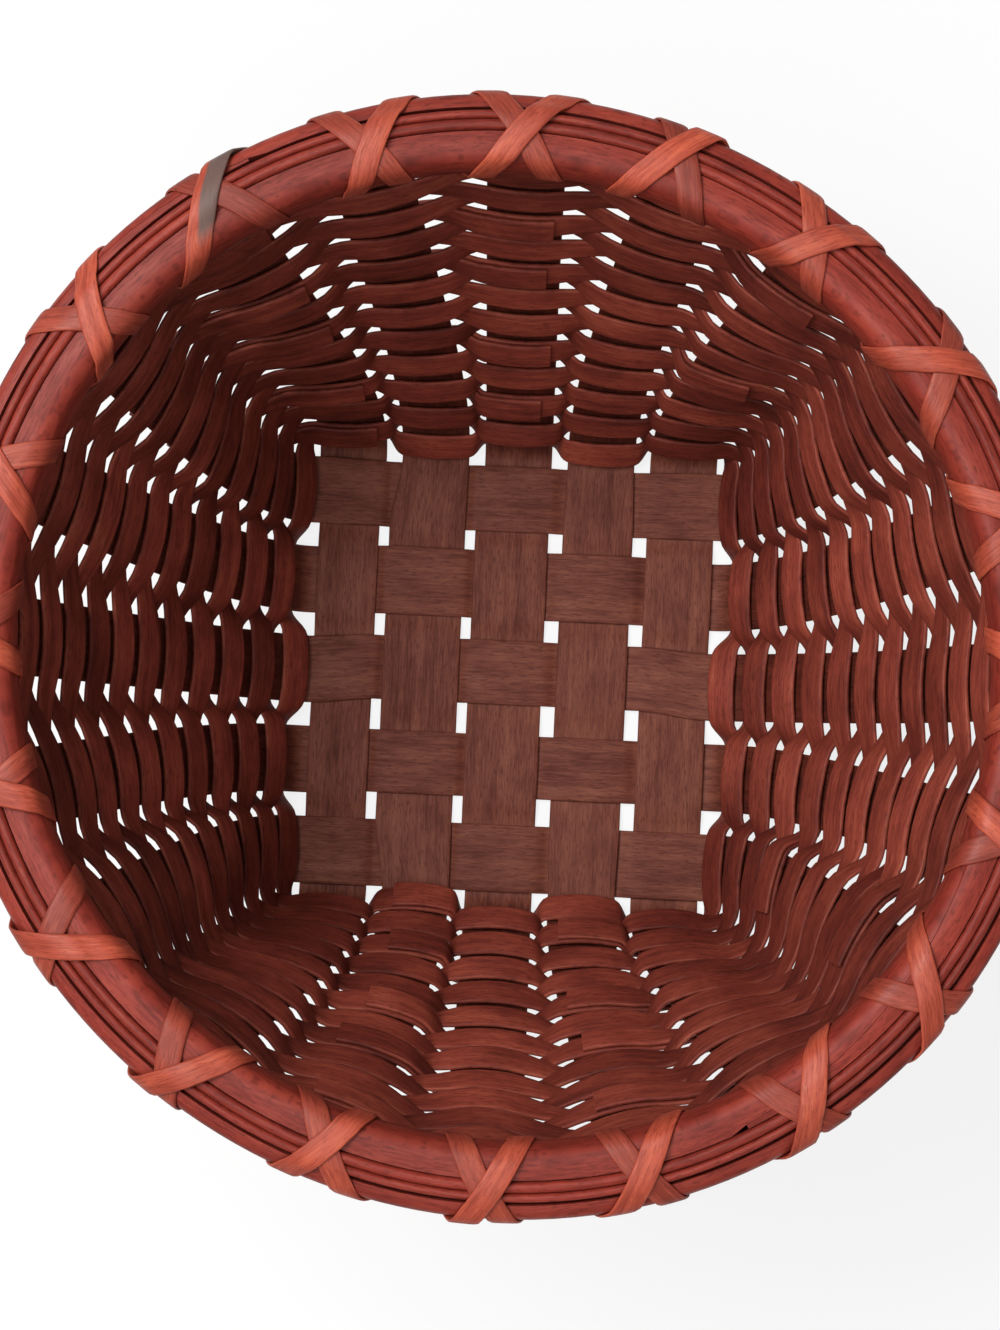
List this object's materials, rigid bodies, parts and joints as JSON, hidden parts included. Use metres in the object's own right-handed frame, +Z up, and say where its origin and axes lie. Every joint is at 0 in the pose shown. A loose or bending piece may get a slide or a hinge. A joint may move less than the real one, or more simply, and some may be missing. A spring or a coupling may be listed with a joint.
{
  "type": "woven berry basket",
  "caption": "Small round-topped, square-bottomed basket of stained flat splint, plain woven, with a two-hoop rim cross-lashed through the wall.",
  "frame": {"origin": "on the floor, under the middle of the square base", "axes": "+Z up, +X along the five X stakes of the base, +Y along the five Y stakes"},
  "size_m": [0.2324, 0.2298, 0.1636],
  "materials": {
    "stake_splint": "flat reed, brown-red stain, matt",
    "weaver_splint": "flat reed, brown-red stain, matt",
    "hoop_reed": "half-oval reed, red-brown stain, low sheen",
    "lashing_splint": "flat reed, orange-red stain, low sheen"
  },
  "bodies": {
    "root": {"stake_x1": "stake_splint", "stake_x2": "stake_splint", "stake_x3": "stake_splint", "stake_x4": "stake_splint", "stake_x5": "stake_splint", "stake_y1": "stake_splint", "stake_y2": "stake_splint", "stake_y3": "stake_splint", "stake_y4": "stake_splint", "stake_y5": "stake_splint", "weaver_row_01": "weaver_splint", "weaver_row_02": "weaver_splint", "weaver_row_03": "weaver_splint", "weaver_row_04": "weaver_splint", "weaver_row_05": "weaver_splint", "weaver_row_06": "weaver_splint", "weaver_row_07": "weaver_splint", "weaver_row_08": "weaver_splint", "weaver_row_09": "weaver_splint", "weaver_row_10": "weaver_splint", "weaver_row_11": "weaver_splint", "weaver_row_12": "weaver_splint", "weaver_row_13": "weaver_splint", "weaver_row_14": "weaver_splint", "weaver_row_15": "weaver_splint", "weaver_row_16": "weaver_splint", "weaver_row_17": "weaver_splint", "weaver_row_18": "weaver_splint", "weaver_row_19": "weaver_splint", "weaver_row_20": "weaver_splint", "weaver_row_21": "weaver_splint", "weaver_row_22": "weaver_splint", "weaver_row_23": "weaver_splint", "rim_row": "weaver_splint", "inner_rim_hoop": "hoop_reed", "outer_rim_hoop": "hoop_reed", "rim_filler_inner": "hoop_reed", "rim_filler_outer": "hoop_reed", "lashing_first_pass": "lashing_splint", "lashing_second_pass": "lashing_splint"}
  },
  "joints": []
}
